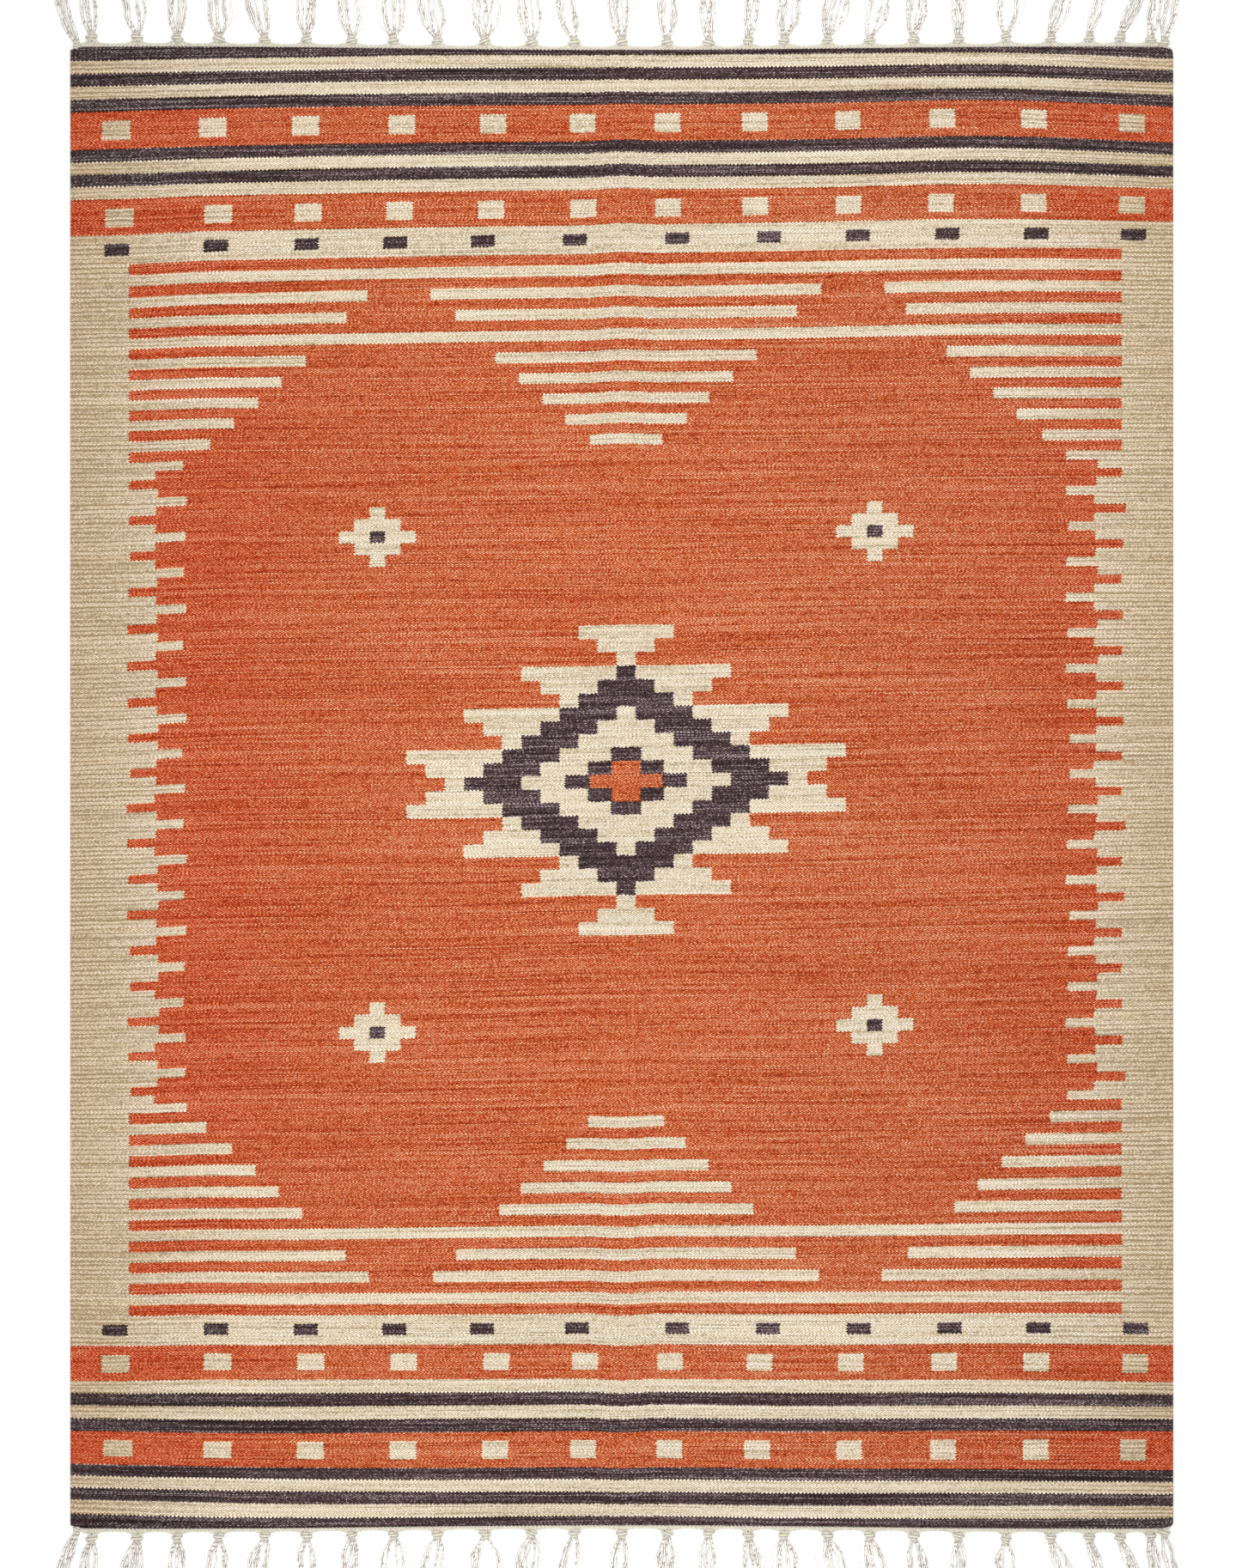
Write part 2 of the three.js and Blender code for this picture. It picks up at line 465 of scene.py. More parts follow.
def addCells(cells, rows, top, left, right):
    # Cuts rows of the chart into cells of one colour each, from top downwards; returns where they end
    cutsX = [i * weave["creaseCut"] for i in range(-weave["creaseCuts"], weave["creaseCuts"] + 1)]
    cutsX += [side * x for side in (-1, 1) for x in range(*weave["plainCutReach"], weave["plainCut"])]
    cuts = [warpAt(x) for x in cutsX]
    gap, digits = weave["cutGap"], weave["rowDigits"]
    for height, ground, marks in rows:
        edges = {left, right}
        for start, end, _ in marks:
            edges.update(u for u in (start, end) if left < u < right)
        edges.update(u for u in cuts if left < u < right and all(abs(u - e) > gap for e in edges))
        edges = sorted(edges)
        for a, b in zip(edges, edges[1:]):
            colour = ground
            for start, end, markColour in marks:
                if start < (a + b) / 2 < end:
                    colour = markColour
            cells.append((a, b, round(top, digits), round(top + height, digits), colour))
        top += height
    return top


def plainRows(height):
    count = math.ceil(height / weave["plainCut"])
    return [(height / count, "orange", ())] * count


def chartCells():
    left = warpAt(-cloth["halfWidth"] + cloth["rim"])
    right = warpAt(cloth["halfWidth"] - cloth["rim"])
    seam = weave["seam"]
    cells = []
    fieldTop = addCells(cells, headRows(), 0.0, left, right)
    fieldBottom = addCells(cells, toothRows(-1), fieldTop, left, -seam)
    addCells(cells, toothRows(1), fieldTop, seam, right)

    top = fieldTop
    figures = [
        (stars["tops"][0], starRows()),
        (diamond["top"], diamondRows()),
        (stars["tops"][1], starRows()),
    ]
    for figureTop, rows in figures:
        top = addCells(cells, plainRows(figureTop - top), top, -seam, seam)
        top = addCells(cells, rows, top, -seam, seam)
    addCells(cells, plainRows(fieldBottom - top), top, -seam, seam)

    foot = footRows()
    stretch = (weave["length"] - fieldBottom) / sum(row[0] for row in foot)
    foot = [(row[0] * stretch, row[1], row[2]) for row in foot]
    addCells(cells, foot, fieldBottom, left, right)
    return cells, left, right


def makeChartLines(cells):
    # For each line of the chart: its corners, and the colours on its two sides
    lines = {}
    for a, b, top, bottom, colour in cells:
        for key, start, end, side in (
            (("row", top), a, b, 1),
            (("row", bottom), a, b, 0),
            (("column", a), top, bottom, 1),
            (("column", b), top, bottom, 0),
        ):
            line = lines.setdefault(key, {"corners": set(), "sides": ([], [])})
            line["corners"].update((start, end))
            line["sides"][side].append((start, end, colour))
    for line in lines.values():
        line["corners"] = sorted(line["corners"])
        for side in line["sides"]:
            side.sort()
    return lines


def colourBeside(side, place):
    i = bisect.bisect_right(side, (place, math.inf, "")) - 1
    return side[i][2] if i >= 0 and side[i][1] > place else None


def buildCloth():
    cells, left, right = chartCells()
    print("chart:", len(cells), "cells")
    lines = makeChartLines(cells)
    rng = random.Random(cloth["seed"])
    indexOf = {}
    plan = []  # x, y on the floor plan and u, v on the chart, for each point of the upper face
    between = {}  # the points along a stretch of line between two corners
    lastRow = max(cell[3] for cell in cells)

    def point(u, v, dx=0.0, dy=0.0):
        key = (round(u, weave["pointDigits"]), round(v, weave["pointDigits"]))
        if key not in indexOf:
            indexOf[key] = len(plan)
            x, y = rowPlace(u, v)
            plan.append((x + dx, y + dy, u, v))
        return indexOf[key]

    def wovenDown(u, v):
        # The end stripe at the head is taller at its sides, with more picks there, not stretched ones
        stripe = bands["endStripe"][0]
        return v if v > stripe else stripe - rowPlace(u, v)[1] + rowPlace(u, stripe)[1]

    def stretchPoints(key, start, end):
        # Teeth along a row line and jags along a column line, only where the colour changes
        if (key, start, end) in between:
            return between[key, start, end]
        line = lines[key]
        middle = (start + end) / 2
        colours = {colourBeside(side, middle) for side in line["sides"]}
        found = []
        isRim = None in colours
        if key[0] == "row" and len(colours) > 1:
            colour = "charcoal" if colours == {"charcoal", "cream"} else "orange"
            height = 0.0 if isRim else weave["toothHeight"][colour]
            phase = line.setdefault("phase", rng.randrange(2))
            first, last = math.ceil(start + weave["toothGap"]), math.floor(end - weave["toothGap"])
            for k in range(first, last + 1):
                dy = height if (k + phase) % 2 else -height
                found.append(point(k, key[1], 0.0, dy))
        elif key[0] == "column" and len(colours) > 1:
            pitch = cloth["sidePitch"] if isRim else weave["jagPitch"]
            count = max(1, round((end - start) / pitch))
            for k in range(1, count):
                dx = 0.0 if isRim else rng.uniform(*weave["jag"]) * (1 if k % 2 else -1)
                found.append(point(key[1], start + (end - start) * k / count, dx, 0.0))
        between[key, start, end] = found
        return found

    def linePoints(key, start, end):
        corners = lines[key]["corners"]
        first = bisect.bisect_left(corners, start)
        last = bisect.bisect_left(corners, end)
        found = []
        for i in range(first, last):
            a, b = corners[i], corners[i + 1]
            found.append(point(a, key[1]) if key[0] == "row" else point(key[1], a))
            found += stretchPoints(key, a, b)
        return found + [point(end, key[1]) if key[0] == "row" else point(key[1], end)]

    colourNumber = {"orange": 0, "cream": 1, "charcoal": 2}
    upper = []
    colours = []
    for a, b, top, bottom, colour in cells:
        upper.append(
            linePoints(("row", bottom), a, b)[:-1]
            + linePoints(("column", b), top, bottom)[:0:-1]
            + linePoints(("row", top), a, b)[:0:-1]
            + linePoints(("column", a), top, bottom)[:-1]
        )
        colours.append(colourNumber[colour])

    # Both faces, each point of the lower one straight under its twin
    thickness, rim, step = cloth["thickness"], cloth["rim"], cloth["slopeStep"]
    points = []
    normals = []
    chart = []
    for x, y, u, v in plan:
        slopeX = (creaseLift(x + step, y) - creaseLift(x - step, y)) / (2 * step)
        length = math.hypot(slopeX, 1)
        normals.append((-slopeX / length, 0.0, 1 / length))
        points.append((x, y, thickness + creaseLift(x, y)))
        chart.append((u, wovenDown(u, v), 0.0))
    count = len(plan)
    points += [(x, y, z - thickness) for x, y, z in points]
    normals += [(-nx, -ny, -nz) for nx, ny, nz in normals]
    chart *= 2
    faces = upper + [[i + count for i in reversed(face)] for face in upper]
    slots = colours * 2

    # The rounded rim, once round the cloth
    loop = (
        linePoints(("row", lastRow), left, right)[:-1]
        + linePoints(("column", right), 0.0, lastRow)[:0:-1]
        + linePoints(("row", 0.0), left, right)[:0:-1]
        + linePoints(("column", left), 0.0, lastRow)[:-1]
    )
    near = weave["tolerance"]
    rings = []
    for number, i in enumerate(loop):
        x, y, u, v = plan[i]
        outX = (u >= right - near) - (u <= left + near)
        outY = (v <= near) - (v >= lastRow - near)
        size = math.hypot(outX, outY)
        if outY:
            bump = cloth["endBump"] * (1 if round(u) % 2 else -1)
        else:
            bump = cloth["sideBump"] * (1 if number % 2 else -1)
        ring = []
        for angle in cloth["rimAngles"]:
            out, up = math.cos(math.radians(angle)), math.sin(math.radians(angle))
            reach = (rim + bump) * out
            ring.append(len(points))
            place = (x + outX / size * reach, y + outY / size * reach)
            points.append((*place, creaseLift(x, y) + rim + rim * up))
            normals.append((outX / size * out, outY / size * out, up))
            chart.append((u + outX * reach / weave["warpPitch"], wovenDown(u, v) - outY * reach, 0.0))
        rings.append([i] + ring + [i + count])
    for number, ring in enumerate(rings):
        after = rings[(number + 1) % len(rings)]
        u = (plan[ring[0]][2] + plan[after[0]][2]) / 2
        v = (plan[ring[0]][3] + plan[after[0]][3]) / 2
        if min(abs(u - left), abs(u - right)) < near:
            key, place = ("column", left if u < 0 else right), v
        else:
            key, place = ("row", 0.0 if v < lastRow / 2 else lastRow), u
        found = [colourBeside(side, place) for side in lines[key]["sides"]]
        slot = colourNumber[found[0] or found[1]]
        for k in range(len(ring) - 1):
            faces.append([ring[k], ring[k + 1], after[k + 1], after[k]])
            slots.append(slot)
    return makePiece("wovenCloth", points, faces, slots, "weave", chart, normals)


# Wool: flatweave. Each pick of yarn shows as a float over every other warp and dives under the next, the
# picks above and below over the ones between, so the eye sees rows of short dots like bricks. Each pick
# keeps its own shade of the uneven dye for a long way, which draws thin dotted lines across the rug.

wool = {
    "roughness": 0.92,
    "sheen": 0.06,
    "sheenRoughness": 0.5,
    "specular": 0.1,
    "ior": 1.54,
    "reliefHeight": 0.4,
    "reliefStrength": 0.5,
    "wanderWarps": 14.0,  # the rows bend a little and the floats sit unevenly on their warps
    "wanderLength": 16.0,
    "rowWander": 4.0,
    "floatWander": 2.4,
    "fibreWarps": 0.5,  # bundles of fibres, drawn several times as coarse as real ones so that they show
    "pickWarps": 140.0,  # how far a single pick keeps its shade
    "yarnWarps": 110.0,  # and how far one length of yarn does, over several picks
    "yarnPicks": 5.0,
    "bandWarps": 300.0,
    "bandHeight": 55.0,
    "dyeWarps": 55.0,  # how far a pick keeps the depth of its dye
    "sideWarps": 290.0,
    "ribFrom": 205.0,  # the side borders are woven in low ribs, drawn as painted shade in their grooves
    "ribHeight": 7.1,
    "ribPower": 3.0,
    "noiseDetail": 2.0,
    "bandDetail": 3.0,
    "noiseRoughness": 0.6,
    "pickApart": 1000.0,  # puts the picks so far apart in the noise that no two are alike
    "dyeApart": 300.0,  # and their dye away from their shade
}

# In each wool: painted side shade across the rug from left to right, which stands for the light falling off
# towards the sides, a ramp from the darkest yarn to the palest, and how much of it each kind of unevenness
# takes up
orangeWool = {
    "name": "orangeWool",
    "paintedSideShades": (
        (0.0, "#ffdfd4"), (0.08, "#ffe7de"), (0.14, "#fbe8df"), (0.2, "#faf5eb"), (0.27, "#fafcf6"),
        (0.5, "#f9fdf6"), (0.72, "#f6fffd"), (0.82, "#f8fcfd"), (0.88, "#f7f0eb"), (0.93, "#f9e6e1"),
        (1.0, "#fde5e2"),
    ),
    "ramp": ((0.0, "#8f2604"), (0.25, "#c64e23"), (0.5, "#ea7b4b"), (0.75, "#fa9e74"), (1.0, "#fdc09a")),
    "pitShade": "#651802",
    "pick": 1.6, "yarn": 0.0, "band": 0.05, "speckle": 0.3, "fibre": 0.6, "dye": 0.1, "ribShade": 0.0,
    "pitShadeShare": 1.0,
    "floatPower": 0.6,
}
creamWool = {
    "name": "creamWool",
    "paintedSideShades": (
        (0.0, "#f5ebe1"), (0.04, "#f7f0e7"), (0.08, "#fcf9f6"), (0.12, "#fffdfa"), (0.3, "#fdfdfb"),
        (0.5, "#f9f9f9"), (0.7, "#fbfbfb"), (0.87, "#ffffff"), (0.92, "#fcf9f8"), (0.96, "#f6f0e8"),
        (1.0, "#f4ebe2"),
    ),
    "ramp": ((0.0, "#a29077"), (0.3, "#d0c0a5"), (0.52, "#e6d9c2"), (0.75, "#efe2d1"), (1.0, "#f9eddb")),
    "pitShade": "#7e6e51",
    "pick": 2.1, "yarn": 0.1, "band": 0.1, "speckle": 0.3, "fibre": 0.6, "dye": 1.0, "ribShade": 0.78,
    "pitShadeShare": 0.95,
    "floatPower": 0.35,
}
charcoalWool = {
    "name": "charcoalWool",
    "paintedSideShades": (
        (0.0, "#f2f6f6"), (0.2, "#f5f3f3"), (0.27, "#fcfcfc"), (0.5, "#f6f6f6"), (0.72, "#ffffff"),
        (1.0, "#f6f9fa"),
    ),
    "ramp": ((0.0, "#2d1d1e"), (0.3, "#473436"), (0.55, "#644e50"), (0.75, "#867172"), (1.0, "#bba8a8")),
    "pitShade": "#100606",
    "pick": 2.4, "yarn": 0.15, "band": 0.1, "speckle": 0.32, "fibre": 0.62, "dye": 0.5, "ribShade": 0.0,
    "pitShadeShare": 1.0,
    "floatPower": 0.65,
}


def flatwovenWool(yarn):
    # Dull and fibrous, with painted shade in the small pits between the floats
    material = emptyMaterial(yarn["name"])
    chart = addNode(material, "ShaderNodeAttribute", (), attribute_name="weave")
    place = addNode(material, "ShaderNodeSeparateXYZ", (chart.outputs["Vector"],))
    warp, down, _ = place.outputs

    def unevenness(warps, row, detail=wool["noiseDetail"]):
        # Runs smoothly between 0 and 1 along each row, and changes over so many warps
        across = addNode(material, "ShaderNodeMath", (warp, warps), operation="DIVIDE")
        place = addNode(material, "ShaderNodeCombineXYZ", (across, row))
        return addNode(material, "ShaderNodeTexNoise", {
            "Vector": place, "Scale": 1.0, "Detail": detail, "Roughness": wool["noiseRoughness"],
        })

    def swing(middle, source, share):
        # Moves the middle up or down by a share of how far the source is from a half
        offset = addNode(material, "ShaderNodeMath", (source, 0.5), operation="SUBTRACT")
        return addNode(material, "ShaderNodeMath", (offset, share, middle), operation="MULTIPLY_ADD")

    def rounded(count):
        # 1 at each even count, falling smoothly to 0 at the odd ones
        angle = addNode(material, "ShaderNodeMath", (count, math.pi), operation="MULTIPLY")
        wave = addNode(material, "ShaderNodeMath", (angle,), operation="COSINE")
        return addNode(material, "ShaderNodeMath", (wave, 0.5, 0.5), operation="MULTIPLY_ADD")

    # The pick that passes here
    wander = addNode(material, "ShaderNodeMath", (down, wool["wanderLength"]), operation="DIVIDE")
    level = swing(down, unevenness(wool["wanderWarps"], wander), wool["rowWander"])
    row = addNode(material, "ShaderNodeMath", (level, weave["pick"]), operation="DIVIDE")
    pick = addNode(material, "ShaderNodeMath", (row,), operation="FLOOR")
    pickSeed = addNode(material, "ShaderNodeTexWhiteNoise", {"W": pick}, noise_dimensions="1D")
    pickRow = addNode(material, "ShaderNodeMath", (pickSeed, wool["pickApart"]), operation="MULTIPLY")

    # Its relief: 1 on top of a float, 0 where the yarn dives and between two picks
    fromPick = addNode(material, "ShaderNodeMath", (warp, pick), operation="SUBTRACT")
    fromFloat = swing(fromPick, unevenness(wool["wanderWarps"], pickRow), wool["floatWander"])
    inPick = addNode(material, "ShaderNodeMath", (row,), operation="FRACT")
    angle = addNode(material, "ShaderNodeMath", (inPick, math.pi), operation="MULTIPLY")
    crown = addNode(material, "ShaderNodeMath", (angle,), operation="SINE")
    dome = addNode(material, "ShaderNodeMath", (rounded(fromFloat), crown), operation="MULTIPLY")
    relief = addNode(material, "ShaderNodeMath", (dome, yarn["floatPower"]), operation="POWER")

    # A shade of its own for each float and for each bundle of fibres
    floatCount = addNode(material, "ShaderNodeMath", (fromFloat, 0.5, 0.5), operation="MULTIPLY_ADD")
    fibreCount = addNode(material, "ShaderNodeMath", (warp, wool["fibreWarps"]), operation="DIVIDE")
    shades = []
    for count in (floatCount, fibreCount):
        whole = addNode(material, "ShaderNodeMath", (count,), operation="FLOOR")
        cell = addNode(material, "ShaderNodeCombineXYZ", (whole, pick))
        shades.append(addNode(material, "ShaderNodeTexWhiteNoise", {"Vector": cell}, noise_dimensions="2D"))

    tone = swing(0.5, unevenness(wool["pickWarps"], pickRow), yarn["pick"])
    if yarn["yarn"]:
        yarnRow = addNode(material, "ShaderNodeMath", (pick, wool["yarnPicks"]), operation="DIVIDE")
        tone = swing(tone, unevenness(wool["yarnWarps"], yarnRow), yarn["yarn"])
    bandRow = addNode(material, "ShaderNodeMath", (down, wool["bandHeight"]), operation="DIVIDE")
    tone = swing(tone, unevenness(wool["bandWarps"], bandRow, wool["bandDetail"]), yarn["band"])
    for shade, share in zip(shades, (yarn["speckle"], yarn["fibre"])):
        tone = swing(tone, shade, share)
    # Painted shade in the grooves between the side borders' low ribs, deeper towards the sides
    if yarn["ribShade"]:
        shifted = addNode(material, "ShaderNodeMath", (warp, weave["patternShift"]), operation="ADD")
        fromMiddle = addNode(material, "ShaderNodeMath", (shifted,), operation="ABSOLUTE")
        reach = (fromMiddle, wool["ribFrom"], wool["sideWarps"], 0.0, yarn["ribShade"])
        depth = addNode(material, "ShaderNodeMapRange", reach)
        ribs = addNode(material, "ShaderNodeMath", (level, wool["ribHeight"] / 2), operation="DIVIDE")
        grooveShade = addNode(material, "ShaderNodeMath", (rounded(ribs), wool["ribPower"]), operation="POWER")
        shadow = addNode(material, "ShaderNodeMath", (grooveShade, depth), operation="MULTIPLY")
        tone = addNode(material, "ShaderNodeMath", (tone, shadow), operation="SUBTRACT")
    shaded = addNode(material, "ShaderNodeValToRGB", (tone,), stops=yarn["ramp"])

    dyeRow = addNode(material, "ShaderNodeMath", (pickRow, wool["dyeApart"]), operation="ADD")
    dye = swing(1.0, unevenness(wool["dyeWarps"], dyeRow), yarn["dye"])
    dyed = addNode(material, "ShaderNodeHueSaturation", {"Saturation": dye, "Color": shaded})
    # Painted shade in the hollows where the yarn dives between the floats and between two picks
    hollow = addNode(material, "ShaderNodeMath", (1.0, relief), operation="SUBTRACT")
    pitShade = addNode(material, "ShaderNodeMath", (hollow, yarn["pitShadeShare"]), operation="MULTIPLY")
    pitShaded = addNode(material, "ShaderNodeMix", {
        0: pitShade, 6: dyed, 7: linearColour(yarn["pitShade"]),
    }, data_type="RGBA")

    # Painted shade: the wool is tinted darker towards the sides of the rug, where the light falls off
    width = (warp, -wool["sideWarps"], wool["sideWarps"], 0.0, 1.0)
    acrossRug = addNode(material, "ShaderNodeMapRange", width)
    paintedSideShade = addNode(material, "ShaderNodeValToRGB", (acrossRug,), stops=yarn["paintedSideShades"])
    sideShaded = addNode(material, "ShaderNodeMix", {
        0: 1.0, 6: pitShaded.outputs[2], 7: paintedSideShade,
    }, data_type="RGBA", blend_type="MULTIPLY")

    bump = addNode(material, "ShaderNodeBump", {
        "Height": relief, "Strength": wool["reliefStrength"], "Distance": wool["reliefHeight"] * mm,
    })
    shader = addNode(material, "ShaderNodeBsdfPrincipled", {
        "Base Color": sideShaded.outputs[2], "Normal": bump,
        "Roughness": wool["roughness"], "IOR": wool["ior"], "Specular IOR Level": wool["specular"],
        "Sheen Weight": wool["sheen"], "Sheen Roughness": wool["sheenRoughness"],
    })
    addNode(material, "ShaderNodeOutputMaterial", {"Surface": shader})
    return material


wovenCloth = buildCloth()
for yarn in (orangeWool, creamWool, charcoalWool):
    wovenCloth.data.materials.append(flatwovenWool(yarn))
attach(wovenCloth, "root")
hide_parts("cloth")


# Fringe

fringe = {
    "seed": 11,
    # Each knot has a lower turn and a smaller upper one
    "wrapWidth": 19.5,
    "wrapLength": 8.4,
    "wrapHeight": 6.8,
    "topWidth": 10.5,
    "topLength": 7.0,
    "topHeight": 5.6,
    "topRise": 5.0,
    "topLean": 0.06,  # share of the tassel's lean that it follows
    "topShift": 1.4,
    "knotWidths": (0.9, 1.06),  # least and most, as shares of the sizes above
    "knotLengths": (0.9, 1.1),
    "cornerKnot": 0.62,
    "knotSteps": (16, 9),
    "knotPole": 0.35,  # steps from its lowest and highest ring to the pole
    "knotTilt": 0.22,
    "knotLowest": 0.05,
    "ridges": 4,
    "ridgeSpread": 1.6,
    "ridgeSlant": (0.3, 0.8),
    "ridgeHeight": 0.09,
    "ridgeTop": 0.9,  # the lower it is, the narrower the shadow between two ridges
    "ridgeYarn": 3.0,
    # Loose strands
    "strandsPerTassel": 10,
    "strandWidth": 2.5,
    "strandWidths": (0.8, 1.1),  # least and most, as shares of it
    "strandFlatness": 0.84,  # narrow side of the two-ply section over its wide side
    "strandSides": 6,
    "strandSteps": 34,
    "strandStart": 1.0,
    "strandTip": 100.0,  # how far the strands reach from the cloth
    "strandSpread": 6.0,
    "strandLay": (0.0, 0.9),
    "strandCross": 0.25,
    "clumps": ((-0.85, -0.2, 0.8), (-0.8, 0.2, 0.85), (-0.9, -0.6, 0.7), (-0.9, -0.3, 0.35, 0.9)),
    "clumpSpread": 0.34,
    "clumpLimit": 0.85,
    "twistPitch": 11.0,
    "rootHalfWidth": 3.8,
    "openingLength": 32.0,
    "dropLength": 14,
    "spreadReach": 62.0,
    "driftLength": 120.0,
    "waveWidth": 1.2,
    "waveLength": 42.0,
    "waveLengths": (0.7, 1.4),
    "wavePhases": (0, 6.28),
    "hairShare": 0.45,
    "hairWidth": 1.0,
    "hairSide": 1.3,
    "yarnNumbers": (0, 100),
    # Gathered yarns between the cloth and the knots
    "yarnWidth": 1.7,
    "yarnPitch": 5.96,  # two warps leave the cloth together
    "yarnSteps": 9,
    "yarnInset": 1.0,
    "yarnStart": -0.5,  # from the cloth's edge
    "yarnEase": 0.4,
    "yarnLay": (0.82, 1.0),
    "yarnShort": 0.8,
    "yarnLift": 2.2,
    "yarnRest": 1.1,
    "yarnRestUneven": 0.5,
    "yarnClimbFrom": 0.6,
    "yarnClimb": 0.45,
    "joinReach": 11,
    "joinWidth": 3.0,
    "joinShares": (0.2, 1.0),
    "joinDepth": 1.0,
    "joinPowers": (2, 6),  # how late the yarns leave the edge, and how late they reach the knot
    # Thin web under them
    "stripDepth": 6.0,
    "stripRise": 4.2,
    "stripReach": 13.0,
    "stripCorner": (0.25, 16),  # share of the depth at the corners, and how far in they reach
    "stripStep": 4.0,
    "stripInset": 2.0,
    "stripInner": 0.5,
    "stripShort": 0.6,
    "stripBottom": 0.1,
    "stripThickness": 1.5,
    "stripTurn": 0.3,
    # Humps of the last twined row
    "humpInset": 4.0,
    "humpPlace": 1.3,
    "humpHalfSize": (3.1, 1.9),
    "humpRings": ((0.55, 0.2), (1.0, 1.1), (0.9, 2.2), (0.45, 2.9)),  # share of the size, height
    "humpSides": 6,
}
looseSlot, knottedSlot = 0, 1

# Tassels from left to right: place of the knot, sideways lean and half width at the middle of the
# strands, and the knot's distance from the cloth
tassels = (
    (-840, -23, 9, 2.5),
    (-817, -6, 15, 15.0),
    (-747, -8, 17, 14.4),
    (-685, 0, 14, 12.6),
    (-621, -5, 16, 11.5),
    (-550, -13, 16, 10.5),
    (-486, -1, 13, 11.8),
    (-416, -7, 16, 11.0),
    (-352, -1, 18, 11.6),
    (-284, -12, 18, 11.6),
    (-211, 1, 21, 11.9),
    (-139, -8, 18, 10.4),
    (-73, -11, 16, 11.0),
    (0, -5, 15, 12.2),
    (70, -1, 14, 11.6),
    (134, -2, 14, 10.6),
    (195, 8, 12, 13.9),
    (250, 7, 17, 12.4),
    (317, 17, 19, 12.8),
    (382, 15, 17, 11.4),
    (450, 7, 14, 12.3),
    (519, -1, 10, 11.2),
    (592, 5, 17, 15.6),
    (661, 23, 13, 12.6),
    (720, 19, 9, 12.6),
    (768, 28, 10, 13.6),
    (815, 9, 9, 10.2),
    (836, 14, 10, 6.5),
)


class MeshParts:
    # Points and faces of one fringe, gathered before its mesh is made
    def __init__(self):
        self.points = []
        self.faces = []
        self.slots = []
        self.yarn = []  # turn round the yarn, distance along it, and a number of its own

    def addRings(self, rings, yarn, slot=knottedSlot):
        # A closed body through rings of points, with a fan at both ends
        first = len(self.points)
        sides = len(rings[0])
        for ring, places in zip(rings, yarn):
            self.points += ring
            self.yarn += places
        for k in range(len(rings) - 1):
            for i in range(sides):
                a, b = first + k * sides + i, first + k * sides + (i + 1) % sides
                self.faces.append((a, b, b + sides, a + sides))
        last = first + (len(rings) - 1) * sides
        self.faces.append(tuple(first + i for i in reversed(range(sides))))
        self.faces.append(tuple(last + i for i in range(sides)))
        self.slots += [slot] * (len(self.faces) - len(self.slots))

    def addTube(self, path, width, number, slot=knottedSlot):
        # A two-ply yarn: a flattened section that turns along the path
        sides = fringe["strandSides"]
        rings, yarn = [], []
        along = 0.0
        for k, (x, y, z) in enumerate(path):
            before, after = path[max(0, k - 1)], path[min(len(path) - 1, k + 1)]
            dx, dy = after[0] - before[0], after[1] - before[1]
            size = math.hypot(dx, dy) or 1.0
            sideX, sideY = dy / size, -dx / size
            if k:
                along += math.dist(path[k - 1], path[k])
            turn = 2 * math.pi * along / fringe["twistPitch"] + number
            ring, places = [], []
            for i in range(sides):
                angle = 2 * math.pi * i / sides
                swell = 0.5 + 0.5 * math.cos(2 * (angle - turn))
                radius = width / 2 * mix(fringe["strandFlatness"], 1.0, swell)
                out, up = radius * math.cos(angle), radius * math.sin(angle)
                ring.append((x + sideX * out, y + sideY * out, z + up))
                places.append((i / sides, along, number))
            rings.append(ring)
            yarn.append(places)
        self.addRings(rings, yarn, slot)


def driftShare(s):
    return 1 - (1 - s / fringe["driftLength"]) ** 2


def strandPath(tassel, side, end, rng):
    x0, lean, spread, distance = tassel
    phase, cross = rng.uniform(*fringe["wavePhases"]), rng.uniform(-1, 1) * fringe["strandCross"]
    start = distance + fringe["topRise"] + fringe["strandStart"]
    length = fringe["strandTip"] - start + rng.uniform(-1, 1) * fringe["strandSpread"]
    waveLength = fringe["waveLength"] * rng.uniform(*fringe["waveLengths"])
    lay = rng.uniform(*fringe["strandLay"])
    path = []
    for k in range(fringe["strandSteps"] + 1):
        s = length * k / fringe["strandSteps"]
        opening = math.sin(math.pi / 2 * min(1.0, s / fringe["openingLength"]))
        reach = driftShare(s) / driftShare(fringe["spreadReach"])
        sideNow = side + cross * math.sin(math.pi * s / length)
        half = mix(fringe["rootHalfWidth"], spread, opening)
        wave = fringe["waveWidth"] * math.sin(2 * math.pi * s / waveLength + phase) * opening
        x = x0 + lean * reach + half * sideNow + wave
        drop = smoothStep(s / fringe["dropLength"])
        z = mix(fringe["topHeight"] / 2, fringe["strandWidth"] / 2 + lay, drop)
        path.append((x, end * (endEdge(x0) + start + s), z))
    return path


def tasselSides(rng):
    # Strands lie in a few loose clumps across the tassel
    clumps = rng.choice(fringe["clumps"])
    spread, limit = fringe["clumpSpread"], fringe["clumpLimit"]
    sides = []
    for i in range(fringe["strandsPerTassel"]):
        side = clumps[i % len(clumps)] + rng.uniform(-spread, spread)
        sides.append(max(-limit, min(limit, side)))
    return sides


